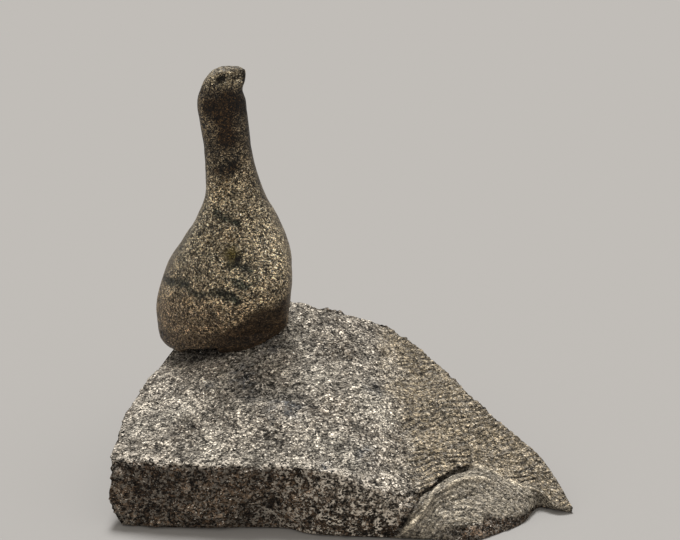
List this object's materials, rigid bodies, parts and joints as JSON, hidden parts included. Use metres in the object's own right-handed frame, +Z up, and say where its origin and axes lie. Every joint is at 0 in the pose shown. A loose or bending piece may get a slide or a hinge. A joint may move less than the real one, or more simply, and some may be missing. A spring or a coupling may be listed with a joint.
{
  "type": "granite bird carving on a rock base",
  "caption": "Small abstract bird carved from brown-grey granite, with a plump body and a long upright neck, standing on a rough natural granite block.",
  "frame": {"origin": "middle of the bounding box's underside, on the surface that the rock stands on", "axes": "+Z up, +X along the rock towards its pointed end and the bird's beak, the rock's vertical front faces -Y"},
  "size_m": [0.2452, 0.157, 0.2312],
  "materials": {
    "bird_granite": "honed, finely pecked",
    "rock_granite": "rough, broken"
  },
  "bodies": {
    "root": {"bird": "bird_granite", "rock_base": "rock_granite"}
  },
  "joints": []
}
